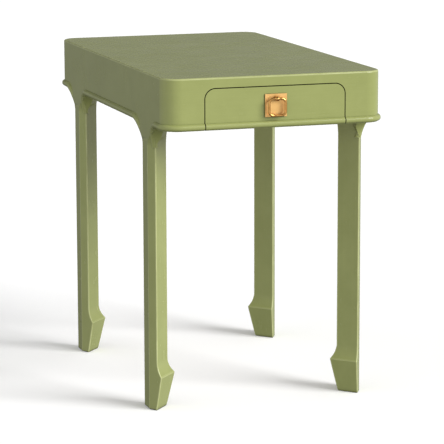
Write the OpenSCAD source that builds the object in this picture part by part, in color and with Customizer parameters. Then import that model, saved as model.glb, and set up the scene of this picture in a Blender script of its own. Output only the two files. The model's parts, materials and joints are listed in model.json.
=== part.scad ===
/* [Overall] */
// Width of the case across its long faces
table_w = 406; // [320:1:520]
// Depth of the case, front face to back face
table_d = 710; // [560:1:880]
// Height from the floor to the top
table_h = 610; // [480:1:760]
// Height of the case, lower edge to top
case_h = 92; // [80:1:130]

/* [Case] */
// Thickness of the top panel
top_t = 12; // [10:0.5:16]
// Thickness of the apron boards
board_t = 20; // [16:0.5:26]
// Thickness of the bottom panel
floor_t = 9; // [6:0.5:12]
// Set-back of the bottom panel above the lower edge
floor_up = 1; // [0.5:0.5:4]
// Radius of the case's upright corners
corner_r = 32; // [26:1:40]
// Radius of the top's eased edge
edge_r = 3; // [1:0.5:5]
// Radius of the bead moulding
bead_r = 6; // [4:0.5:8]
// How far the bead stands proud of the face
bead_out = 5; // [3:0.5:6]
// Small flat left below the bead
bead_up = 0.4; // [0.2:0.1:1]

/* [Legs] */
// Distance from a short face to the leg's centre
leg_inset = 121; // [100:1:150]
// Width of the flat outer face of the leg
leg_flat = 30; // [22:1:36]
// Width of the leg from ridge to ridge
leg_wide = 65; // [54:1:78]
// Depth of the ridges behind the outer face
leg_ridge = 10; // [8:0.5:14]
// Depth of the leg, outer face to inner edge
leg_deep = 40; // [34:0.5:48]
// Height of the hoof's crest
hoof_h = 62; // [50:1:74]
// Height of the cove above the crest
hoof_cove = 28; // [20:1:34]
// How far the crest stands proud of the leg
hoof_out = 9.7; // [6:0.1:12]
// Height of the crest's narrow flat
crest_flat = 1; // [0.5:0.1:3]
// How far the sole is drawn in below the crest
hoof_in = 11.5; // [8:0.1:14]
// Height of the cove at the top of the leg's inner faces
cove_h = 42; // [30:1:50]
// How far that cove stands out under the case
cove_out = 4; // [2:0.5:8]
// Radius of the spandrel curve beside each leg
span_r = 40; // [32:1:48]
// Radius of the chamfer's curved run-out
runout_r = 36; // [34:1:60]
// Height over which a spandrel's back slopes in
slope_h = 22; // [16:1:30]
// Lean into the board of the bead where it follows a spandrel
bead_lean = 12.4; // [10:0.2:18]

/* [Drawer] */
// Width of the drawer front
front_w = 258.2; // [200:0.2:300]
// Gap between the drawer front and the opening
front_gap = 1.8; // [1:0.1:2.5]
// Thickness of the drawer front
front_t = 18; // [14:0.5:22]
// Radius of the drawer front's upper corners
arch_r = 18; // [12:1:26]
// Wood left above the opening
bridge_h = 6.1; // [4:0.1:10]
// How much narrower the drawer box is than its front, each side
box_in = 4.1; // [3:0.1:8]
// Length of the drawer sides
box_l = 500; // [400:5:540]
// Thickness of the drawer sides and back
side_t = 10; // [8:0.5:14]
// Thickness of the drawer bottom
bottom_t = 5; // [4:0.5:6]
// Depth of the grooves for the drawer bottom
groove_d = 5; // [3:0.5:6]
// Height of the groove above the drawer side's lower edge
groove_up = 5.5; // [4:0.5:8]
// Height of the runners
runner_h = 6; // [4:0.5:10]
// Width of the runners
runner_w = 14; // [10:1:20]
// Width of the guides
guide_w = 14; // [10:1:18]
// Height of the guides
guide_h = 17; // [12:1:24]
// Width of the kickers
kicker_w = 40; // [30:1:44]
// Height of the kickers
kicker_h = 12; // [10:0.5:16]
// Size of the drawer stops
stop_w = 20; // [14:1:26]
// Length of the drawer stops
stop_l = 12; // [8:1:20]
// Distance from a drawer stop to the drawer side
stop_in = 5; // [2:1:10]
// Height of the drawer stops above the drawer's bottom
stop_up = 14; // [8:1:20]
// How much lower the drawer's back is than its sides
back_drop = 4; // [0:1:10]
// Running clearance under the drawer sides
run_gap = 0.5; // [0.3:0.1:1]
// Running clearance beside the drawer sides
side_gap = 1; // [0.5:0.1:1.5]
// Clearance above the drawer sides
lift_gap = 2; // [1:0.5:4]
// Clearance behind the closed drawer
close_gap = 0.5; // [0.3:0.1:2]
// Clearance between the drawer front and the bottom panel
lip_gap = 1.5; // [1:0.1:3]

/* [Pull] */
// Size of the square backplate
plate_w = 40.4; // [32:0.2:50]
// Thickness of the backplate
plate_t = 2.2; // [1.5:0.1:3]
// Height of the backplate's centre above the drawer's lower edge
plate_up = 39.3; // [36:0.1:42]
// Outer width of the ring
ring_w = 35; // [28:0.5:42]
// Outer height of the ring
ring_h = 34; // [28:0.5:42]
// Radius of the ring's rod
rod_r = 2.2; // [1.6:0.1:3]
// Bend radius of the ring's corners, to the rod's centre
ring_bend = 8; // [6:0.5:10]
// Radial clearance of the rod in the eye
eye_gap = 0.08; // [0.03:0.01:0.1]
// Radius of the post
post_r = 4.2; // [3.8:0.1:6]
// Distance from the plate to the rod's centre
post_out = 8; // [7:0.5:12]
// Distance from the plate's upper edge to the rod's centre
post_down = 8; // [6:0.5:10]
// Radius of the post's threaded stud
stud_r = 2; // [1.5:0.1:2.5]
// Length of stud that shows past the nut
stud_end = 1; // [0.5:0.5:3]
// Clearance around the stud
stud_gap = 0.2; // [0.1:0.05:0.4]
// Radius of the washer
washer_r = 6; // [5:0.5:8]
// Thickness of the washer
washer_t = 1; // [0.6:0.1:1.6]
// Width of the nut across its corners, halved
nut_r = 4; // [3.6:0.1:5]
// Height of the nut
nut_h = 3.2; // [2.4:0.1:5]

/* [Fixings] */
// Screws in each kicker
screw_n = 3; // [2:1:5]
// Distance from the kicker's ends to the outer screws
screw_end = 60; // [30:5:100]
// Radius of the screw shank
screw_r = 2; // [1.5:0.1:2.5]
// Radius of the screw head
head_r = 4; // [3.4:0.1:5]
// Height of the countersunk head
head_h = 2.6; // [2:0.1:4]
// How far a screw enters the top
screw_bite = 8; // [5:0.5:9]

/* [Hidden] */
$fn = 96;
// how far a cutter runs past a face, and a length longer than any leg section
e = 1;
far = 100;
// how deep a nearly tangent curve is sunk into the face it meets
runout_sink = 0.2;
cove_sink = 0.3;
hw = table_w / 2;
hd = table_d / 2;
z0 = table_h - case_h;
z_top = table_h - top_t;
z_floor = z0 + floor_up;
z_deck = z_floor + floor_t;
pull_out = plate_t + post_out + post_r;
y_shift = (pull_out - bead_out) / 2;
bead_z = z0 + bead_up + bead_r;
bead_c = bead_r - bead_out;
leg_y = hd - leg_inset;
straight_x = hw - corner_r;
straight_y = hd - corner_r;
// leg section
fa = leg_flat / 2;
wb = leg_wide / 2;
f1 = [leg_ridge, wb - fa];
f1n = f1 / norm(f1);
f2 = [leg_deep - leg_ridge, wb];
f2n = f2 / norm(f2);
f2_ang = atan2(f2n[1], f2n[0]);
f1_ang = atan2(f1n[1], f1n[0]);
// the leg's outline with its two inner faces moved out by some distance
function ridge_at(out) = [leg_ridge, wb] + f1n * out / (f1n[0] * f2n[1] + f1n[1] * f2n[0]);
function outline(out) = let (p = ridge_at(out)) [[0, fa], [0, -fa], [p[0], -p[1]],
  [leg_deep + out / f2n[1], 0], p];
hoof_r = (pow(hoof_out, 2) + pow(hoof_cove, 2)) / (2 * hoof_out);
cove_r = (pow(cove_out, 2) + pow(cove_h, 2)) / (2 * cove_out);
span_z = z0 - span_r;
lean_reach = wb + span_r;
bead_bend = bead_z - span_z;
// drawer
open_w = front_w + 2 * front_gap;
open_top = z_top - bridge_h;
front_top = open_top - front_gap;
box_w = front_w - 2 * box_in;
front_back = -hd + front_t;
side_z = z_deck + runner_h + run_gap;
side_top = z_top - kicker_h - lift_gap;
box_end = front_back + box_l;
groove_z = side_z + groove_up;
inner_w = box_w - 2 * side_t;
guide_x = box_w / 2 + side_gap;
deck_y0 = front_back + lip_gap;
deck_y1 = hd - board_t;
rail_y0 = -hd + board_t;
rail_l = deck_y1 - rail_y0;
kicker_x = box_w / 2 - side_t / 2;
// pull
plate_z = z0 + plate_up;
rod_z = plate_z + plate_w / 2 - post_down;
plate_y = -hd;
rod_y = plate_y - plate_t - post_out;
ring_cw = ring_w - 2 * rod_r;
ring_ch = ring_h - 2 * rod_r;

// a board or block given by its lower and upper corners
module block(a, b) { translate(a) cube([b[0] - a[0], b[1] - a[1], b[2] - a[2]]); }
// round rod along X or Y, from a start point
module rod_x(p, l, r) { translate(p) rotate([0, 90, 0]) cylinder(h = l, r = r); }
module rod_y(p, l, r) { translate(p) rotate([-90, 0, 0]) cylinder(h = l, r = r); }

// plan of the case with rounded corners
module plan(w, d, r) {
  union() {
    square([w - 2 * r, d], center = true);
    square([w, d - 2 * r], center = true);
    for (x = [-1, 1], y = [-1, 1]) translate([x * (w / 2 - r), y * (d / 2 - r)]) circle(r = r);
  }
}

// ---- top ----
// section of a border strip, its eased outer edge at +X
module border() {
  square([corner_r - edge_r, top_t]);
  square([corner_r, top_t - edge_r]);
  translate([corner_r - edge_r, top_t - edge_r]) circle(r = edge_r);
}
module top_panel() color("olivedrab") difference() {
  translate([0, 0, z_top]) union() {
    block([-straight_x, -straight_y, 0], [straight_x, straight_y, top_t]);
    for (s = [-1, 1]) scale([s, s, 1]) {
      translate([straight_x, straight_y, 0]) rotate([90, 0, 0])
        linear_extrude(2 * straight_y) border();
      translate([-straight_x, straight_y, 0]) rotate([90, 0, 90])
        linear_extrude(2 * straight_x) border();
      for (m = [0, 1]) mirror([m, 0, 0]) translate([straight_x, straight_y, 0])
        rotate_extrude(angle = 90) border();
    }
  }
  screw_holes();
}

// ---- corner posts ----
module corner(x, y) color("olivedrab") translate([x * straight_x, y * straight_y, 0])
  mirror([x < 0 ? 1 : 0, 0, 0]) mirror([0, y < 0 ? 1 : 0, 0]) {
    intersection() {
      union() {
        translate([0, 0, z0]) cylinder(h = z_top - z0, r = corner_r);
        translate([0, 0, bead_z]) rotate_extrude()
          translate([corner_r - bead_c, 0]) circle(r = bead_r);
      }
      translate([0, 0, z0]) cube([corner_r + 2 * bead_r, corner_r + 2 * bead_r, z_top - z0]);
    }
  }
module corner_front_left() corner(-1, -1);
module corner_front_right() corner(1, -1);
module corner_back_left() corner(-1, 1);
module corner_back_right() corner(1, 1);

// ---- short aprons ----
// outline of the drawer opening or of the drawer front
module arch(w, top, r, low) {
  translate([-w / 2, low]) square([w, top - r - low]);
  translate([-w / 2 + r, low]) square([w - 2 * r, top - low]);
  for (x = [-1, 1]) translate([x * (w / 2 - r), top - r]) circle(r = r);
}
module arch_solid(w, top, r, low, y, t) translate([0, y + t, 0]) rotate([90, 0, 0])
  linear_extrude(t) arch(w, top, r, low);

module front_apron() color("olivedrab") difference() {
  union() {
    block([-straight_x, -hd, z0], [straight_x, -hd + board_t, z_top]);
    rod_x([-straight_x, -hd + bead_c, bead_z], 2 * straight_x, bead_r);
  }
  arch_solid(open_w, open_top, arch_r + front_gap, z0 - e, -hd - 2 * bead_r, board_t + 4 * bead_r);
}
module back_apron() color("olivedrab") union() {
  block([-straight_x, hd - board_t, z0], [straight_x, hd, z_top]);
  rod_x([-straight_x, hd - bead_c, bead_z], 2 * straight_x, bead_r);
}

// ---- long aprons, drawn for the left side ----
module core_solid(low, high) translate([0, 0, low]) linear_extrude(high - low) polygon(outline(0));
module at_leg(y) translate([-hw, y, 0]) children();

// the ear beside a leg, on the side s of its centre: a plate below the case
module ear(s) mirror([0, s < 0 ? 1 : 0, 0]) difference() {
  block([0, 0, span_z], [board_t, wb + span_r, z0]);
  // spandrel curve
  rod_x([-e, wb + span_r, span_z], board_t + 2 * e, span_r);
  // curved run-out of the leg's chamfer
  translate([0, fa, span_z]) rotate([0, 0, f1_ang]) translate([0, runout_r - runout_sink, 0])
    rod_x([-far, 0, 0], 2 * far, runout_r);
  // back sloping in to the leg's ridge
  translate([leg_ridge, -e, span_z]) rotate([0, atan2(board_t - leg_ridge, slope_h), 0])
    translate([0, 0, -far]) cube([far, wb + span_r + 2 * e, 2 * far]);
}
// the bead where it bends down into a leg
module bead_arm(s) mirror([0, s < 0 ? 1 : 0, 0]) intersection() {
  translate([bead_c, lean_reach, bead_z]) rotate([0, -bead_lean, 0]) translate([0, 0, -bead_bend])
    rotate([0, -90, 0]) rotate_extrude(angle = 360) translate([bead_bend, 0]) circle(r = bead_r);
  block([-4 * bead_r, 0, z0 - span_r], [4 * bead_r, lean_reach, z0 + 4 * bead_r]);
}
module side_run(y0, y1, ears) difference() {
  union() {
    block([-hw, y0, z0], [-hw + board_t, y1, z_top]);
    for (k = ears) at_leg(k[0]) { ear(k[1]); bead_arm(k[1]); }
    let (b0 = y0 + (len(ears) == 2 || ears[0][1] > 0 ? lean_reach : 0),
         b1 = y1 - (len(ears) == 2 || ears[0][1] < 0 ? lean_reach : 0))
      if (b1 > b0) rod_y([-hw + bead_c, b0, bead_z], b1 - b0, bead_r);
  }
  for (k = ears) at_leg(k[0]) core_solid(span_z - e, z_top + e);
}
module apron_left_mid() color("olivedrab")
  side_run(-leg_y, leg_y, [[-leg_y, 1], [leg_y, -1]]);
module end_run() intersection() {
  side_run(-straight_y, -leg_y, [[-leg_y, -1]]);
  block([-hw - 4 * bead_r, -straight_y, 0], [-hw + board_t, -leg_y, z_top]);
}
module apron_left_front() color("olivedrab") end_run();
module apron_left_back() color("olivedrab") mirror([0, 1, 0]) end_run();
module apron_right_mid() mirror([1, 0, 0]) apron_left_mid();
module apron_right_front() mirror([1, 0, 0]) apron_left_front();
module apron_right_back() mirror([1, 0, 0]) apron_left_back();

// ---- legs, drawn with the outer face at x = 0 ----
module along_f2() translate([leg_ridge, -wb, 0]) rotate([0, 0, f2_ang])
  rotate([0, 90, 0]) rotate([0, 0, 90]) translate([0, 0, -far]) linear_extrude(2 * far) children();
// profiles below are drawn with x pointing back into the leg and y up
// everything outside an inner face: the hoof's cove and the straight leg above it
module shank_void() union() {
  translate([-hoof_r, hoof_h + hoof_cove]) circle(r = hoof_r);
  translate([-far, hoof_h + hoof_cove]) square([far, z_top]);
}
// everything outside the hoof's taper, which starts below the crest's narrow flat
module taper_void() {
  low = hoof_h - crest_flat;
  run = hoof_in / low;
  over = low + hoof_cove / 2;
  polygon([[-hoof_out - run * (over - low), over], [hoof_in - hoof_out + run * e, -e],
    [-far, -e], [-far, over]]);
}
module cove_plan() difference() {
  translate([-2 * cove_out, z_floor - cove_h]) square([3 * cove_out, cove_h]);
  translate([cove_sink - cove_r, z_floor - cove_h]) circle(r = cove_r);
}
module both() { children(); mirror([0, 1, 0]) children(); }
module leg() union() {
  difference() {
    linear_extrude(z_top) polygon(outline(hoof_out));
    both() along_f2() shank_void();
    both() along_f2() taper_void();
  }
  // coves under the case
  both() intersection() {
    along_f2() cove_plan();
    block([board_t, -far, z_floor - cove_h - e], [far, 0, z_floor]);
  }
}
module leg_at(x, y) color("olive") translate([x * hw, y * leg_y, 0])
  mirror([x > 0 ? 1 : 0, 0, 0]) leg();
module leg_front_left() leg_at(-1, -1);
module leg_front_right() leg_at(1, -1);
module leg_back_left() leg_at(-1, 1);
module leg_back_right() leg_at(1, 1);

// ---- inside the case ----
module bottom_panel() color("burlywood") difference() {
  block([-hw + board_t, deck_y0, z_floor], [hw - board_t, deck_y1, z_deck]);
  for (x = [-1, 1], y = [-1, 1]) translate([x * hw, y * leg_y, 0])
    mirror([x > 0 ? 1 : 0, 0, 0]) core_solid(z0 - e, z_deck + e);
  for (x = [-1, 1]) mirror([x > 0 ? 1 : 0, 0, 0])
    block([-hw - e, -hd, z_floor - e], [-straight_x, -straight_y, z_deck + e]);
  for (x = [-1, 1]) mirror([x > 0 ? 1 : 0, 0, 0])
    block([-hw - e, straight_y, z_floor - e], [-straight_x, hd, z_deck + e]);
  for (x = [-1, 1]) mirror([x > 0 ? 1 : 0, 0, 0])
    block([-straight_x - e, -hd, z_floor - e], [-open_w / 2, -hd + board_t, z_deck + e]);
}
module runner() block([box_w / 2 + side_gap - runner_w, rail_y0, z_deck],
  [box_w / 2 + side_gap, deck_y1, z_deck + runner_h]);
module runner_left() color("burlywood") mirror([1, 0, 0]) runner();
module runner_right() color("burlywood") runner();
module guide() block([guide_x, rail_y0, z_deck], [guide_x + guide_w, deck_y1, z_deck + guide_h]);
module guide_left() color("burlywood") mirror([1, 0, 0]) guide();
module guide_right() color("burlywood") guide();

screw_y = [for (i = [0 : screw_n - 1]) rail_y0 + screw_end + i * (rail_l - 2 * screw_end) / (screw_n - 1)];
screw_x = kicker_x - side_t / 2 + kicker_w / 2;
module screw() {
  cylinder(h = head_h, r1 = head_r, r2 = screw_r);
  cylinder(h = kicker_h + screw_bite, r = screw_r);
}
module screw_holes() for (x = [-1, 1], y = screw_y)
  translate([x * screw_x, y, z_top - kicker_h]) screw();
module kicker() difference() {
  block([kicker_x - side_t / 2, rail_y0, z_top - kicker_h],
    [kicker_x - side_t / 2 + kicker_w, deck_y1, z_top]);
  screw_holes();
}
module kicker_left() color("burlywood") mirror([1, 0, 0]) kicker();
module kicker_right() color("burlywood") kicker();
module kicker_screws() color("silver") screw_holes();
module drawer_stop() block([inner_w / 2 - stop_w - stop_in, box_end + close_gap, z_deck],
  [inner_w / 2 - stop_in, box_end + close_gap + stop_l, groove_z + bottom_t + stop_up]);
module drawer_stop_left() color("burlywood") mirror([1, 0, 0]) drawer_stop();
module drawer_stop_right() color("burlywood") drawer_stop();

// ---- drawer ----
module drawer_front() color("yellowgreen") difference() {
  intersection() {
    union() {
      block([-front_w / 2, -hd, z0], [front_w / 2, front_back, front_top]);
      rod_x([-front_w / 2, -hd + bead_c, bead_z], front_w, bead_r);
    }
    arch_solid(front_w, front_top, arch_r, z0 - e, -hd - 2 * bead_r, front_t + 2 * bead_r);
  }
  block([-inner_w / 2 - groove_d, front_back - groove_d, groove_z],
    [inner_w / 2 + groove_d, front_back + e, groove_z + bottom_t]);
  rod_y([0, -hd - e, rod_z], front_t + 2 * e, stud_r + stud_gap);
}
module drawer_side() difference() {
  block([inner_w / 2, front_back, side_z], [box_w / 2, box_end, side_top]);
  block([inner_w / 2 - e, front_back - e, groove_z],
    [inner_w / 2 + groove_d, box_end + e, groove_z + bottom_t]);
}
module drawer_side_left() color("tan") mirror([1, 0, 0]) drawer_side();
module drawer_side_right() color("tan") drawer_side();
module drawer_back() color("tan") block([-inner_w / 2, box_end - side_t, groove_z + bottom_t],
  [inner_w / 2, box_end, side_top - back_drop]);
module drawer_bottom() color("wheat")
  block([-inner_w / 2 - groove_d, front_back - groove_d, groove_z],
    [inner_w / 2 + groove_d, box_end, groove_z + bottom_t]);

// ---- pull ----
module pull_plate() color("gold") difference() {
  block([-plate_w / 2, plate_y - plate_t, plate_z - plate_w / 2],
    [plate_w / 2, plate_y, plate_z + plate_w / 2]);
  rod_y([0, plate_y - plate_t - e, rod_z], plate_t + 2 * e, stud_r + stud_gap);
}
module pull_post() color("goldenrod") difference() {
  union() {
    rod_y([0, rod_y, rod_z], post_out, post_r);
    translate([0, rod_y, rod_z]) rotate([90, 0, 0]) sphere(r = post_r);
    rod_y([0, rod_y, rod_z], post_out + plate_t + front_t + washer_t + nut_h + stud_end, stud_r);
  }
  rod_x([-post_r - e, rod_y, rod_z], 2 * (post_r + e), rod_r + eye_gap);
}
module pull_washer() color("silver") difference() {
  rod_y([0, front_back, rod_z], washer_t, washer_r);
  rod_y([0, front_back - e, rod_z], washer_t + 2 * e, stud_r + stud_gap);
}
module pull_nut() color("silver") difference() {
  translate([0, front_back + washer_t, rod_z]) rotate([-90, 0, 0]) cylinder(h = nut_h, r = nut_r, $fn = 6);
  rod_y([0, front_back, rod_z], washer_t + nut_h + 2 * e, stud_r);
}
module ring_corner(x, z, a) translate([x, 0, z]) rotate([90, 0, 0]) rotate([0, 0, a])
  rotate_extrude(angle = 90) translate([ring_bend, 0]) circle(r = rod_r);
module pull_ring() color("goldenrod") translate([0, rod_y, rod_z]) union() {
  sx = ring_cw / 2 - ring_bend;
  rod_x([-sx, 0, 0], 2 * sx, rod_r);
  rod_x([-sx, 0, -ring_ch], 2 * sx, rod_r);
  for (x = [-1, 1]) translate([x * ring_cw / 2, 0, -ring_ch + ring_bend])
    cylinder(h = ring_ch - 2 * ring_bend, r = rod_r);
  ring_corner(sx, -ring_bend, 0);
  ring_corner(-sx, -ring_bend, 90);
  ring_corner(-sx, -ring_ch + ring_bend, 180);
  ring_corner(sx, -ring_ch + ring_bend, 270);
}

module placed() translate([0, y_shift, 0]) children();
placed() top_panel();
placed() front_apron();
placed() back_apron();
placed() apron_left_mid();
placed() apron_right_mid();
placed() apron_left_front();
placed() apron_left_back();
placed() apron_right_front();
placed() apron_right_back();
placed() corner_front_left();
placed() corner_front_right();
placed() corner_back_left();
placed() corner_back_right();
placed() leg_front_left();
placed() leg_front_right();
placed() leg_back_left();
placed() leg_back_right();
placed() bottom_panel();
placed() runner_left();
placed() runner_right();
placed() guide_left();
placed() guide_right();
placed() kicker_left();
placed() kicker_right();
placed() drawer_stop_left();
placed() drawer_stop_right();
placed() kicker_screws();
placed() drawer_front();
placed() drawer_side_left();
placed() drawer_side_right();
placed() drawer_back();
placed() drawer_bottom();
placed() pull_plate();
placed() pull_post();
placed() pull_washer();
placed() pull_nut();
placed() pull_ring();
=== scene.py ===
"""Looks of a green lacquered side table with one drawer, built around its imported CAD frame."""
import json
import math

import bmesh
import bpy
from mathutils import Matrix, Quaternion, Vector
from mathutils.bvhtree import BVHTree

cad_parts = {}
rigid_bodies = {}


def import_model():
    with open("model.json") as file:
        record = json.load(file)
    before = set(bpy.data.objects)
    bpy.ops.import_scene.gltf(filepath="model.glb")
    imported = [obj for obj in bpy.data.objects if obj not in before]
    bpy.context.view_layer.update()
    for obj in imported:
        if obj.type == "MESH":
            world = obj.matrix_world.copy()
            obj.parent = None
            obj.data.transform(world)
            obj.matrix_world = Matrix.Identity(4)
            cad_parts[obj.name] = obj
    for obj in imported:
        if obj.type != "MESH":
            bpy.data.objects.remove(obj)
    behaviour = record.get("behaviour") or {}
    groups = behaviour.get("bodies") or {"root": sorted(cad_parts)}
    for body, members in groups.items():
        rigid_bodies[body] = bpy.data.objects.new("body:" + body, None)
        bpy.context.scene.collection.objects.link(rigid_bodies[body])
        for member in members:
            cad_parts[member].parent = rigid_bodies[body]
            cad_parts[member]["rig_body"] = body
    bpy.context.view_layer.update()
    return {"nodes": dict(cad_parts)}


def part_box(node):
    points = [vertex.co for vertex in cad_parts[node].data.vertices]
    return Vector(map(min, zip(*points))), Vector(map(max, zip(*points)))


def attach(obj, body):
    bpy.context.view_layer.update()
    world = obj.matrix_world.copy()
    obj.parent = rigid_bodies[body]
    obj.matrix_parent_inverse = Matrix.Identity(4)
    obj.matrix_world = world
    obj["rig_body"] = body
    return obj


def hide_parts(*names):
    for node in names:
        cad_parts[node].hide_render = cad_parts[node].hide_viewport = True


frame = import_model()

MM = 0.001

# Sizes repeated from the CAD source, in metres
CORNER_R = 32 * MM
EDGE_R = 3 * MM
BEAD_R, BEAD_OUT, BEAD_UP = 6 * MM, 5 * MM, 0.4 * MM
LEG_FLAT, LEG_WIDE, LEG_RIDGE, LEG_DEEP = 30 * MM, 65 * MM, 10 * MM, 40 * MM
HOOF_H, HOOF_COVE, HOOF_OUT, HOOF_IN, CREST = 62 * MM, 28 * MM, 9.7 * MM, 11.5 * MM, 1 * MM
COVE_H, COVE_OUT = 42 * MM, 4 * MM
FADE = 12 * MM  # height over which the leg's rounded corners run out at the top
RING_BEND, ROD_R = 8 * MM, 2.2 * MM

# Finish of the shown meshes
HARD_EDGE = 0.5                       # angle in radians above which an edge stays sharp
RUB_AND_HIGHLIGHT_GENTLE, RUB_AND_HIGHLIGHT_TIGHT = 150.0, 420.0  # curvature, per metre, where rubbing and the painted edge highlight start and are full
SAME_POINT = 1e-6                     # vertices closer than this are one
BOARD_EASE = 0.7 * MM                 # rounding of the boards' free edges
JOINT_REACH = 0.15 * MM               # an edge this close to a neighbour is in a joint
LEG_R_FLAT, LEG_R_RIDGE, LEG_R_EDGE = 2.2 * MM, 1.6 * MM, 2.5 * MM
SOLE_EASE = 1.2 * MM
ARC = 20                              # steps in a quarter turn of the case

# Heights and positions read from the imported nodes
Z_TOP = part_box("top_panel")[0].z
Z_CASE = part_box("front_apron")[0].z
Z_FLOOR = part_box("bottom_panel")[0].z
Z_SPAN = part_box("apron_left_mid")[0].z
TOP_LO, TOP_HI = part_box("top_panel")
MID_Y = (TOP_LO.y + TOP_HI.y) / 2


# ---------------------------------------------------------------- mesh helpers
def keep_hard(bm):
    """Marks the edges that are still sharp, so that shading doesn't run across them."""
    bm.normal_update()
    for e in bm.edges:
        e.smooth = not (len(e.link_faces) == 2 and e.calc_face_angle(0) > HARD_EDGE)


def mark_rub_and_highlight(bm):
    """A value on each face, 0 to 1, from how tightly its surface curves outwards, per metre, for edge
    rubbing and a painted highlight on tight edges.
    """
    layer = bm.faces.layers.float.new("rub_and_highlight")
    for f in bm.faces:
        bend = 0.0
        for e in f.edges:
            if e.smooth and len(e.link_faces) == 2 and e.is_convex:
                other = e.link_faces[0] if e.link_faces[1] is f else e.link_faces[1]
                reach = (f.calc_area() + other.calc_area()) / max(e.calc_length(), 1e-6) / 2
                reach = min(reach, f.calc_area() / max(e.calc_length(), 1e-6) * 1.5)
                bend = max(bend, e.calc_face_angle(0) / max(reach, 1e-4))
        f[layer] = min(max((bend - RUB_AND_HIGHLIGHT_GENTLE) / (RUB_AND_HIGHLIGHT_TIGHT - RUB_AND_HIGHLIGHT_GENTLE), 0), 1)


def new_object(name, bm):
    """A linked object from a bmesh, all faces smooth, hard edges kept by their flags."""
    bmesh.ops.recalc_face_normals(bm, faces=bm.faces)
    keep_hard(bm)
    mark_rub_and_highlight(bm)
    for f in bm.faces:
        f.smooth = True
    mesh = bpy.data.meshes.new(name)
    bm.to_mesh(mesh)
    bm.free()
    if "custom_normal" in mesh.attributes:
        mesh.attributes.remove(mesh.attributes["custom_normal"])
    obj = bpy.data.objects.new(name, mesh)
    bpy.context.scene.collection.objects.link(obj)
    return obj


def weigh_normals(obj):
    """Normals that keep flat faces flat beside small rounded edges."""
    mod = obj.modifiers.new("normals", "WEIGHTED_NORMAL")
    mod.keep_sharp = True
    mod.weight = 80


def grid(bm, rows, closed):
    """Faces between neighbouring rows of vertices."""
    for a, b in zip(rows, rows[1:]):
        n = len(a)
        for i in range(n if closed else n - 1):
            j = (i + 1) % n
            bm.faces.new((a[i], a[j], b[j], b[i]))


def stand_in(obj, node):
    """obj is shown instead of a CAD node, on the node's own body."""
    cad = frame["nodes"][node]
    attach(obj, cad["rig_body"])
    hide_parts(node)
    return obj


def fillet(points, radii, steps=4):
    """A closed outline with each corner rounded; a radius of 0 keeps the corner."""
    out = []
    n = len(points)
    for i, (p, r) in enumerate(zip(points, radii)):
        a, b = points[i - 1] - p, points[(i + 1) % n] - p
        if r <= 0 or a.length < 1e-7 or b.length < 1e-7:
            out += [p.copy() for _ in range(steps + 1)]
            continue
        a.normalize()
        b.normalize()
        half = a.angle(b) / 2
        centre = p + (a + b).normalized() * (r / math.sin(half))
        start, end = p + a * (r / math.tan(half)), p + b * (r / math.tan(half))
        v0, v1 = start - centre, end - centre
        turn = math.atan2(v0.x * v1.y - v0.y * v1.x, v0.dot(v1))
        for k in range(steps + 1):
            t = turn * k / steps
            c, s = math.cos(t), math.sin(t)
            out.append(centre + Vector((v0.x * c - v0.y * s, v0.x * s + v0.y * c)))
    return out


# ---------------------------------------------------------------- legs
FA, WB = LEG_FLAT / 2, LEG_WIDE / 2
F1 = Vector((LEG_RIDGE, WB - FA)).normalized()
F2 = Vector((LEG_DEEP - LEG_RIDGE, WB)).normalized()
N2 = Vector((F2.y, F2.x))  # outward normal of the inner face at +Y


def leg_outline(out):
    """The leg in plan with its inner faces moved out, x back from its outer face and y along it."""
    ridge = Vector((LEG_RIDGE, WB)) + F1 * out / (F1.x * N2.x + F1.y * N2.y)
    return [Vector(p) for p in ((0, FA), (0, -FA), (ridge.x, -ridge.y),
                                (LEG_DEEP + out / N2.x, 0), (ridge.x, ridge.y))]


def bow(height, out, up):
    """How far a cove of this height and reach stands out, at a distance up from its free end."""
    big = (out ** 2 + height ** 2) / (2 * out)
    return big - math.sqrt(big ** 2 - up ** 2)


def leg_levels():
    """Height, offset of the inner faces, and the scale of the corner radii, sole to top."""
    low = HOOF_H - CREST
    rows = [(z, HOOF_OUT - HOOF_IN * (low - z) / low, 1)
            for z in (0, 10 * MM, 25 * MM, 40 * MM, 55 * MM, low - 0.5 * MM)]
    rows += [(low + CREST * t, HOOF_OUT - 0.24 * MM * abs(t - 0.5), 1) for t in (0.15, 0.5, 0.85)]
    steps = 12
    for i in range(1, steps + 1):
        up = HOOF_COVE * i / steps
        rows.append((HOOF_H + up, bow(HOOF_COVE, HOOF_OUT, HOOF_COVE - up), 1))
    shank, start = HOOF_H + HOOF_COVE, Z_FLOOR - COVE_H
    rows += [(shank + (start - shank) * t, 0, 1) for t in (0.25, 0.5, 0.75, 0.98)]
    for i in range(1, steps + 1):
        up = COVE_H * i / steps
        rows.append((start + up, bow(COVE_H, COVE_OUT, up), max(0, 1 - up / FADE)))
    return rows + [(Z_FLOOR, 0, 0), (Z_TOP, 0, 0)]


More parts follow.
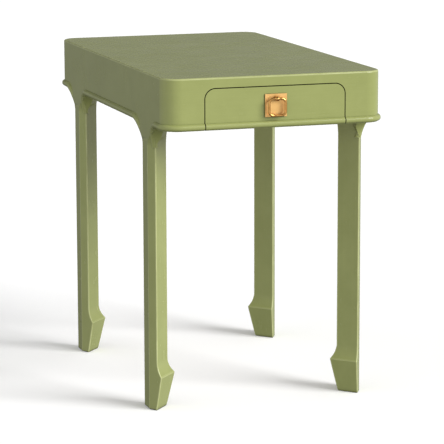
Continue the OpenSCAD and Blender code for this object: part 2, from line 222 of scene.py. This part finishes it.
def build_leg(node):
    """A leg lofted through its levels, with its sole's edge eased."""
    lo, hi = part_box(node)
    side = -1 if lo.x < 0 else 1
    face_x = lo.x if side < 0 else hi.x
    mid_y = (lo.y + hi.y) / 2
    bm = bmesh.new()
    rows = []
    mid = Vector((LEG_DEEP * 0.45, 0))
    for z, out, soft in leg_levels():
        ring = fillet(leg_outline(out),
                      (LEG_R_FLAT * soft, LEG_R_FLAT * soft, LEG_R_RIDGE * soft,
                       LEG_R_EDGE, LEG_R_RIDGE * soft))
        if z == 0:
            soled = [p + (mid - p).normalized() * SOLE_EASE for p in ring]
            rows.append([bm.verts.new((face_x - side * p.x, mid_y + p.y, lo.z)) for p in soled])
            z = SOLE_EASE
        rows.append([bm.verts.new((face_x - side * p.x, mid_y + p.y, lo.z + z)) for p in ring])
    grid(bm, rows, True)
    bm.faces.new(rows[0])
    bm.faces.new(rows[-1])
    bmesh.ops.remove_doubles(bm, verts=bm.verts, dist=SAME_POINT)
    bmesh.ops.dissolve_degenerate(bm, dist=SAME_POINT, edges=bm.edges)
    obj = new_object(node + "_lacquered", bm)
    weigh_normals(obj)
    return stand_in(obj, node)


# ---------------------------------------------------------------- top and corners
def build_top():
    """The top: rounded corners and an eased edge, in fine rings."""
    bm = bmesh.new()
    ease = 8
    levels = [(TOP_LO.z, 0), (TOP_HI.z - EDGE_R, 0)]
    for i in range(1, ease + 1):
        a = math.pi / 2 * i / ease
        levels.append((TOP_HI.z - EDGE_R + EDGE_R * math.sin(a), EDGE_R * (1 - math.cos(a))))
    rows = []
    for z, inset in levels:
        ring = []
        for q, (sx, sy) in enumerate(((1, 1), (-1, 1), (-1, -1), (1, -1))):
            cx = (TOP_HI.x if sx > 0 else TOP_LO.x) - sx * CORNER_R
            cy = (TOP_HI.y if sy > 0 else TOP_LO.y) - sy * CORNER_R
            for k in range(ARC + 1):
                a = math.pi / 2 * (q + k / ARC)
                r = CORNER_R - inset
                ring.append(bm.verts.new((cx + r * math.cos(a), cy + r * math.sin(a), z)))
        rows.append(ring)
    grid(bm, rows, True)
    bm.faces.new(rows[0])
    bm.faces.new(rows[-1])
    obj = new_object("top_lacquered", bm)
    weigh_normals(obj)
    return stand_in(obj, "top_panel")


def bead_section():
    """The case's outer profile at a corner: (distance from the face, height)."""
    inset, z = BEAD_R - BEAD_OUT, Z_CASE + BEAD_UP + BEAD_R
    half = math.acos(inset / BEAD_R)
    pts = [(0, Z_CASE)]
    steps = 14
    for k in range(steps + 1):
        a = -half + 2 * half * k / steps
        pts.append((BEAD_R * math.cos(a) - inset, z + BEAD_R * math.sin(a)))
    return pts + [(0, Z_TOP)]


def build_corner(node):
    """A rounded corner post: the case's profile with its bead, turned through a quarter."""
    lo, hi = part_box(node)
    sx = -1 if lo.x < 0 else 1
    sy = -1 if lo.y < MID_Y else 1
    cx = (TOP_LO.x if sx < 0 else TOP_HI.x) - sx * CORNER_R
    cy = (TOP_LO.y if sy < 0 else TOP_HI.y) - sy * CORNER_R
    bm = bmesh.new()
    axis = [bm.verts.new((cx, cy, z)) for z in (Z_TOP, Z_CASE)]
    section = bead_section()
    rows = []
    for k in range(ARC + 1):
        a = math.pi / 2 * k / ARC
        rows.append([bm.verts.new((cx + sx * (CORNER_R + r) * math.cos(a),
                                   cy + sy * (CORNER_R + r) * math.sin(a), z)) for r, z in section])
    grid(bm, rows, False)
    for row in (rows[0], rows[-1]):
        bm.faces.new(row + axis)
    for a, b in zip(rows, rows[1:]):
        bm.faces.new((a[-1], b[-1], axis[0]))
        bm.faces.new((a[0], b[0], axis[1]))
    obj = new_object(node + "_lacquered", bm)
    weigh_normals(obj)
    return stand_in(obj, node)


# ---------------------------------------------------------------- boards softened from the CAD
def neighbours(node):
    """A search tree over the other nodes of the same body."""
    body = frame["nodes"][node]["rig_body"]
    verts, faces = [], []
    for name, obj in frame["nodes"].items():
        if name != node and obj["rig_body"] == body:
            base = len(verts)
            verts += [v.co.copy() for v in obj.data.vertices]
            faces += [[base + i for i in p.vertices] for p in obj.data.polygons]
    return BVHTree.FromPolygons(verts, faces)


def soften(node, name):
    """A copy of a CAD node with its free edges rounded. Edges in a joint stay as they are."""
    tree = neighbours(node)
    bm = bmesh.new()
    bm.from_mesh(frame["nodes"][node].data)
    bmesh.ops.remove_doubles(bm, verts=bm.verts, dist=SAME_POINT)
    bmesh.ops.dissolve_limit(bm, angle_limit=0.01, verts=bm.verts, edges=bm.edges)
    for z in (Z_SPAN, Z_CASE, Z_FLOOR):
        bmesh.ops.bisect_plane(bm, geom=bm.verts[:] + bm.edges[:] + bm.faces[:],
                               dist=SAME_POINT, plane_co=(0, 0, z), plane_no=(0, 0, 1))
    free = []
    for e in bm.edges:
        if len(e.link_faces) != 2 or e.calc_face_angle(0) < HARD_EDGE or not e.is_convex:
            continue
        a, b = e.verts
        near = 0
        for t in (0.15, 0.5, 0.85):
            hit = tree.find_nearest(a.co.lerp(b.co, t))
            near += hit[0] is not None and hit[3] < JOINT_REACH
        if near >= 2:
            continue
        length = e.calc_length()
        room = min(f.calc_area() / max(length, 1e-6) for f in e.link_faces)
        if room > 2.2 * BOARD_EASE and length > 0.6 * BOARD_EASE:
            free.append(e)
    if free:
        bmesh.ops.bevel(bm, geom=free, offset=BOARD_EASE, offset_type="OFFSET", segments=3,
                        profile=0.5, affect="EDGES", clamp_overlap=True)
    obj = new_object(name, bm)
    weigh_normals(obj)
    return stand_in(obj, node)


# ---------------------------------------------------------------- pull
def build_ring():
    """The pull's ring: a round rod along a square with rounded corners."""
    lo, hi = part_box("pull_ring")
    y = (lo.y + hi.y) / 2
    x0, x1, z0, z1 = lo.x + ROD_R, hi.x - ROD_R, lo.z + ROD_R, hi.z - ROD_R
    path = []
    turn, around = 10, 20
    left, right = x0 + RING_BEND, x1 - RING_BEND
    low, high = z0 + RING_BEND, z1 - RING_BEND
    for q, (cx, cz) in enumerate(((right, high), (left, high), (left, low), (right, low))):
        for k in range(turn + 1):
            path.append((cx, cz, math.pi / 2 * (q + k / turn)))
    bm = bmesh.new()
    rows = []
    for cx, cz, a in path:
        row = []
        for k in range(around):
            b = 2 * math.pi * k / around
            r = RING_BEND + ROD_R * math.cos(b)
            row.append(bm.verts.new((cx + r * math.cos(a), y + ROD_R * math.sin(b),
                                     cz + r * math.sin(a))))
        rows.append(row)
    grid(bm, rows + [rows[0]], True)
    return stand_in(new_object("ring_polished", bm), "pull_ring")


# ---------------------------------------------------------------- materials
class Nodes:
    """Short calls for a material's node tree."""

    def __init__(self, name):
        self.mat = bpy.data.materials.new(name)
        self.mat.use_nodes = True
        self.tree = self.mat.node_tree
        self.tree.nodes.clear()
        self.shader = self.add("BsdfPrincipled")
        out = self.add("OutputMaterial")
        self.link(self.shader.outputs["BSDF"], out.inputs["Surface"])
        self.place = self.add("TexCoord").outputs["Object"]

    def add(self, kind, **settings):
        node = self.tree.nodes.new("ShaderNode" + kind)
        for key, value in settings.items():
            setattr(node, key, value)
        return node

    def link(self, a, b):
        self.tree.links.new(a, b)

    def put(self, socket, value):
        if hasattr(value, "node"):
            self.link(value, socket)
        else:
            socket.default_value = value

    def noise(self, scale, detail, rough, distort=0.0):
        """Noise over the object's own coordinates, with a scale for each axis, per metre."""
        mapping = self.add("Mapping")
        self.link(self.place, mapping.inputs["Vector"])
        mapping.inputs["Scale"].default_value = scale
        tex = self.add("TexNoise")
        self.link(mapping.outputs["Vector"], tex.inputs["Vector"])
        tex.inputs["Scale"].default_value = 1
        tex.inputs["Detail"].default_value = detail
        tex.inputs["Roughness"].default_value = rough
        tex.inputs["Distortion"].default_value = distort
        return tex.outputs["Fac"]

    def ramp(self, value, low, high, to_low=0.0, to_high=1.0):
        node = self.add("MapRange")
        self.link(value, node.inputs["Value"])
        for key, x in (("From Min", low), ("From Max", high), ("To Min", to_low), ("To Max", to_high)):
            node.inputs[key].default_value = x
        return node.outputs["Result"]

    def math(self, operation, a, b):
        node = self.add("Math", operation=operation)
        self.put(node.inputs[0], a)
        self.put(node.inputs[1], b)
        return node.outputs[0]

    def mix(self, factor, a, b):
        node = self.add("Mix", data_type="RGBA")
        self.put(node.inputs["Factor"], factor)
        self.put(node.inputs[6], a)
        self.put(node.inputs[7], b)
        return node.outputs[2]

    def between(self, factor, a, b):
        """A number between two, by the factor."""
        node = self.add("Mix", data_type="FLOAT")
        self.put(node.inputs["Factor"], factor)
        self.put(node.inputs[2], a)
        self.put(node.inputs[3], b)
        return node.outputs[0]

    def crevice(self, distance):
        """1 in the open, down to 0 in a crevice."""
        node = self.add("AmbientOcclusion", samples=4)
        node.inputs["Distance"].default_value = distance
        return node.outputs["AO"]

    def rub_and_highlight(self):
        """1 on a tightly rounded edge, 0 on a face, from the mesh's own values; it places rubbing and
        a painted highlight.
        """
        return self.add("Attribute", attribute_name="rub_and_highlight").outputs["Fac"]

    def bump(self, height, distance, strength):
        node = self.add("Bump")
        node.inputs["Strength"].default_value = strength
        node.inputs["Distance"].default_value = distance
        self.link(height, node.inputs["Height"])
        self.link(node.outputs["Normal"], self.shader.inputs["Normal"])

    def facing(self, axis):
        """How squarely the surface faces along an axis, from its own normal."""
        coord = self.add("TexCoord")
        split = self.add("SeparateXYZ")
        self.link(coord.outputs["Normal"], split.inputs["Vector"])
        return self.math("ABSOLUTE", split.outputs[axis], 0.0)


def colour(r, g, b):
    """A linear colour from 0-255 display values."""
    def lin(v):
        v /= 255
        return v / 12.92 if v <= 0.04045 else ((v + 0.055) / 1.055) ** 2.4
    return lin(r), lin(g), lin(b), 1.0


GREEN_DEEP, GREEN = colour(132, 138, 82), colour(139, 145, 88)
GREEN_MOTTLE, GREEN_BRUSHED = colour(127, 133, 76), colour(147, 153, 95)
# Painted shade: the glaze green in crevices and the near black in the drawer gap. The pale green is
# rubbing on edges and a painted highlight.
GREEN_GLAZE_AND_SHADE, GREEN_RUB_AND_HIGHLIGHT = colour(76, 80, 42), colour(196, 200, 150)
GAP_PAINTED_SHADE = colour(8, 8, 6)
WOOD_DARK, WOOD_PALE = colour(196, 160, 116), colour(222, 192, 148)
# The crevice brown is painted shade.
WOOD_PORE, WOOD_CREVICE_SHADE = colour(160, 122, 82), colour(104, 76, 48)


def lacquer(name, upright):
    """Green lacquer over wood: faint brush marks, mottling, dark glaze and painted shade in crevices,
    painted near-black shade in the drawer gap, and pale rub-through on tight edges that is also a
    painted highlight.
    """
    m = Nodes(name)
    long_streaks = m.noise((260, 260, 7), 4, 0.6)       # upright brush marks
    if not upright:
        across = m.noise((9, 9, 300), 4, 0.6)           # level marks on the front
        top = m.noise((7, 240, 240), 4, 0.6)            # marks across the top
        front = m.ramp(m.facing("Y"), 0.6, 0.8)
        flat = m.ramp(m.facing("Z"), 0.6, 0.8)
        streaks = m.between(flat, m.between(front, long_streaks, across), top)
    else:
        streaks = long_streaks
    clouds = m.noise((9, 9, 9), 3, 0.55, 0.6)
    patches = m.noise((32, 32, 32), 4, 0.6, 0.3)
    base = m.mix(m.ramp(clouds, 0.3, 0.7), GREEN_DEEP, GREEN)
    base = m.mix(m.ramp(patches, 0.35, 0.75, 0, 0.5), base, GREEN_MOTTLE)
    base = m.mix(m.ramp(streaks, 0.3, 0.7, 0, 0.12), base, GREEN_BRUSHED)
    # Painted shade: a dark glaze green, partly real glaze, where the occlusion test finds crevices,
    # and near black in the tightest, the drawer gap.
    open_air = m.crevice(9 * MM)
    base = m.mix(m.ramp(open_air, 0.8, 0.3, 0, 0.75), base, GREEN_GLAZE_AND_SHADE)
    base = m.mix(m.ramp(open_air, 0.52, 0.28), base, GAP_PAINTED_SHADE)
    # Pale green on tight edges: rubbing through the lacquer, and also a painted highlight along them.
    rub_and_highlight_mask = m.math("MULTIPLY", m.rub_and_highlight(), m.ramp(patches, 0.3, 0.7, 0.25, 0.6))
    base = m.mix(rub_and_highlight_mask, base, GREEN_RUB_AND_HIGHLIGHT)
    m.put(m.shader.inputs["Base Color"], base)
    rough = m.math("ADD", m.ramp(streaks, 0.3, 0.7, 0.21, 0.25),
                   m.ramp(patches, 0.3, 0.7, -0.03, 0.05))
    m.put(m.shader.inputs["Roughness"], rough)
    m.shader.inputs["IOR"].default_value = 1.46
    m.shader.inputs["Specular IOR Level"].default_value = 0.3
    m.shader.inputs["Coat Weight"].default_value = 0.06
    m.shader.inputs["Coat Roughness"].default_value = 0.15
    height = m.math("ADD", m.math("MULTIPLY", streaks, 0.6), m.math("MULTIPLY", patches, 0.4))
    m.bump(height, 0.008 * MM, 0.6)
    return m.mat


def wood(name, along):
    """Pale drawer wood with its grain along an axis, and painted shade in its crevices."""
    m = Nodes(name)
    scale = {"X": (6, 90, 90), "Y": (90, 6, 90)}[along]
    fine = {"X": (30, 700, 700), "Y": (700, 30, 700)}[along]
    grain = m.noise(scale, 5, 0.6, 1.2)
    pores = m.noise(fine, 3, 0.6)
    base = m.mix(m.ramp(grain, 0.35, 0.65), WOOD_DARK, WOOD_PALE)
    base = m.mix(m.ramp(pores, 0.55, 0.75, 0, 0.5), base, WOOD_PORE)
    # Painted shade: darker brown where the occlusion test finds crevices.
    base = m.mix(m.ramp(m.crevice(10 * MM), 0.8, 0.2, 0, 0.5), base, WOOD_CREVICE_SHADE)
    m.put(m.shader.inputs["Base Color"], base)
    m.put(m.shader.inputs["Roughness"], m.ramp(grain, 0.3, 0.7, 0.5, 0.68))
    m.bump(m.math("ADD", grain, pores), 0.1 * MM, 0.5)
    return m.mat


def metal(name, light, dark, low, high, scratch, depth):
    """A metal with brush marks, stains, and a dark colour in its crevices that is both tarnished
    patina and painted shade, such as the ring's shadow on the plate.
    """
    m = Nodes(name)
    marks = m.noise(scratch, 4, 0.65)
    stain = m.noise((90, 90, 90), 3, 0.6, 0.4)
    base = m.mix(m.ramp(stain, 0.35, 0.7, 0, 0.6), light, dark)
    base = m.mix(m.ramp(marks, 0.35, 0.7, 0, 0.35), base, dark)
    # Tarnished patina and painted shade in crevices, darkest where parts nearly touch.
    tarnish_and_shade = tuple(c * 0.2 for c in dark[:3]) + (1,)
    base = m.mix(m.ramp(m.crevice(7 * MM), 0.85, 0.3, 0, 0.9), base, tarnish_and_shade)
    m.put(m.shader.inputs["Base Color"], base)
    m.shader.inputs["Metallic"].default_value = 1.0
    m.put(m.shader.inputs["Roughness"], m.ramp(marks, 0.3, 0.7, low, high))
    m.bump(marks, depth, 0.6)
    return m.mat


LACQUER = lacquer("case_lacquer", False)
LEG_LACQUER = lacquer("leg_lacquer", True)
WOOD_X = wood("drawer_wood_x", "X")
WOOD_Y = wood("drawer_wood_y", "Y")
PLATE = metal("satin_brass", colour(226, 184, 120), colour(204, 158, 92),
              0.36, 0.5, (60, 60, 1600), 0.03 * MM)
POLISHED = metal("polished_brass", colour(212, 164, 98), colour(160, 112, 58),
                 0.08, 0.16, (400, 400, 400), 0.01 * MM)
STEEL = metal("zinc_steel", colour(190, 192, 194), colour(158, 160, 162),
              0.3, 0.42, (500, 500, 500), 0.02 * MM)


def paint(obj, material):
    """One material on the whole object."""
    if not obj.material_slots:
        obj.data.materials.append(material)
    for slot in obj.material_slots:
        slot.link = "OBJECT"
        slot.material = material


# ---------------------------------------------------------------- the table
for corner in ("front_left", "front_right", "back_left", "back_right"):
    leg = build_leg("leg_" + corner)
    paint(leg, LEG_LACQUER)
    post = build_corner("corner_" + corner)
    paint(post, LACQUER)
top = build_top()
paint(top, LACQUER)
for node in ("apron_left_mid", "apron_right_mid", "apron_left_front", "apron_left_back",
             "apron_right_front", "apron_right_back", "front_apron", "back_apron", "drawer_front"):
    board = soften(node, node + "_lacquered")
    paint(board, LACQUER)
ring = build_ring()
paint(ring, POLISHED)

for node, obj in frame["nodes"].items():
    if node == "pull_plate":
        paint(obj, PLATE)
    elif node == "pull_post":
        paint(obj, POLISHED)
    elif node in ("pull_washer", "pull_nut", "kicker_screws"):
        paint(obj, STEEL)
    elif node in ("drawer_back", "drawer_stop_left", "drawer_stop_right"):
        paint(obj, WOOD_X)
    elif node == "bottom_panel" or node.startswith(("runner_", "guide_", "kicker_", "drawer_")):
        if node != "drawer_front":
            paint(obj, WOOD_Y)


# ---------------------------------------------------------------- floor, light and camera
FLOOR_HALF, FLOOR_Z = 40.0, -0.4 * MM
FLOOR_WHITE, FLOOR_GLOW = (0.93, 0.93, 0.93, 1), 0.1

# The surroundings: (height from straight down 0 to straight up 1, level), and broad glows
LEVELS = ((0.0, 0.05), (0.35, 0.1), (0.5, 0.42), (0.62, 0.1), (0.8, 0.5), (1.0, 0.1))
GLOWS = (("X", 1.0, 0.88), ("X", -1.0, 1.27), ("Y", -1.0, 0.97))  # axis, side, level

# The camera: angles in degrees, distance in metres, and lengths in its frame of 444 x 444
AZIMUTH, ELEVATION, ROLL = -18.28, 10.53, -0.15
DISTANCE, FOCAL_PX, FRAME_PX = 4.532, 2373.3, 444
TARGET = Vector((18 * MM, 4.7 * MM, 286 * MM))


def build_floor():
    """A large white floor. Its light on the table is part of the surroundings' lower half."""
    bm = bmesh.new()
    bm.faces.new([bm.verts.new((x * FLOOR_HALF, y * FLOOR_HALF, FLOOR_Z))
                  for x, y in ((-1, -1), (1, -1), (1, 1), (-1, 1))])
    floor = new_object("floor", bm)
    m = Nodes("floor_paper")
    m.shader.inputs["Base Color"].default_value = FLOOR_WHITE
    m.shader.inputs["Emission Color"].default_value = (1, 1, 1, 1)
    m.shader.inputs["Emission Strength"].default_value = FLOOR_GLOW
    m.shader.inputs["Roughness"].default_value = 0.95
    m.shader.inputs["Specular IOR Level"].default_value = 0.0
    paint(floor, m.mat)
    floor.visible_glossy = floor.visible_diffuse = False


def build_world():
    """Soft surroundings: a level for each height, with broad glows from the right, left and front."""
    world = bpy.data.worlds.new("studio")
    world.use_nodes = True
    tree = world.node_tree
    tree.nodes.clear()
    out = tree.nodes.new("ShaderNodeOutputWorld")
    shade = tree.nodes.new("ShaderNodeBackground")
    coord = tree.nodes.new("ShaderNodeTexCoord")
    split = tree.nodes.new("ShaderNodeSeparateXYZ")
    tree.links.new(coord.outputs["Generated"], split.inputs["Vector"])

    def maths(operation, *values):
        node = tree.nodes.new("ShaderNodeMath")
        node.operation = operation
        for socket, value in zip(node.inputs, values):
            if isinstance(value, float):
                socket.default_value = value
            else:
                tree.links.new(value, socket)
        return node.outputs[0]

    ramp = tree.nodes.new("ShaderNodeValToRGB")
    for at, _ in LEVELS[1:-1]:
        ramp.color_ramp.elements.new(at)
    for element, (_, level) in zip(ramp.color_ramp.elements, LEVELS):
        element.color = (level, level, level, 1)
    tree.links.new(maths("MULTIPLY_ADD", split.outputs["Z"], 0.5, 0.5), ramp.inputs["Fac"])
    total = ramp.outputs["Color"]
    for axis, sign, level in GLOWS:
        towards = maths("MAXIMUM", maths("MULTIPLY", split.outputs[axis], sign), 0.0)
        total = maths("ADD", total, maths("MULTIPLY", maths("MULTIPLY", towards, towards), level))
    tree.links.new(total, shade.inputs["Strength"])
    tree.links.new(shade.outputs["Background"], out.inputs["Surface"])
    bpy.context.scene.world = world


def outwards(azimuth, elevation):
    """The direction from the table towards a compass angle and a height, in degrees."""
    a, e = math.radians(azimuth), math.radians(elevation)
    return Vector((math.sin(a) * math.cos(e), -math.cos(a) * math.cos(e), math.sin(e)))


def sun(name, azimuth, elevation, strength, spread):
    """Soft distant light from a compass direction: azimuth 0 is the front, 90 the right."""
    lamp = bpy.data.lights.new(name, "SUN")
    lamp.energy = strength
    lamp.angle = math.radians(spread)
    obj = bpy.data.objects.new(name, lamp)
    obj.rotation_mode = "QUATERNION"
    obj.rotation_quaternion = outwards(azimuth, elevation).to_track_quat("Z", "Y")
    bpy.context.scene.collection.objects.link(obj)


def build_camera():
    """The camera, placed by its angle, its distance and the point that it looks at."""
    back = outwards(AZIMUTH, ELEVATION)
    cam = bpy.data.cameras.new("camera")
    cam.sensor_width = 36
    cam.lens = FOCAL_PX * cam.sensor_width / FRAME_PX
    cam.clip_end = 200
    obj = bpy.data.objects.new("camera", cam)
    obj.location = TARGET + back * DISTANCE
    obj.rotation_mode = "QUATERNION"
    obj.rotation_quaternion = Quaternion(back, math.radians(ROLL)) @ (-back).to_track_quat("-Z", "Y")
    bpy.context.scene.collection.objects.link(obj)
    bpy.context.scene.camera = obj


build_floor()
build_world()
sun("key", 44, 26, 3.6, 34)
build_camera()
bpy.context.scene.view_settings.view_transform = "Standard"

bpy.context.view_layer.update()
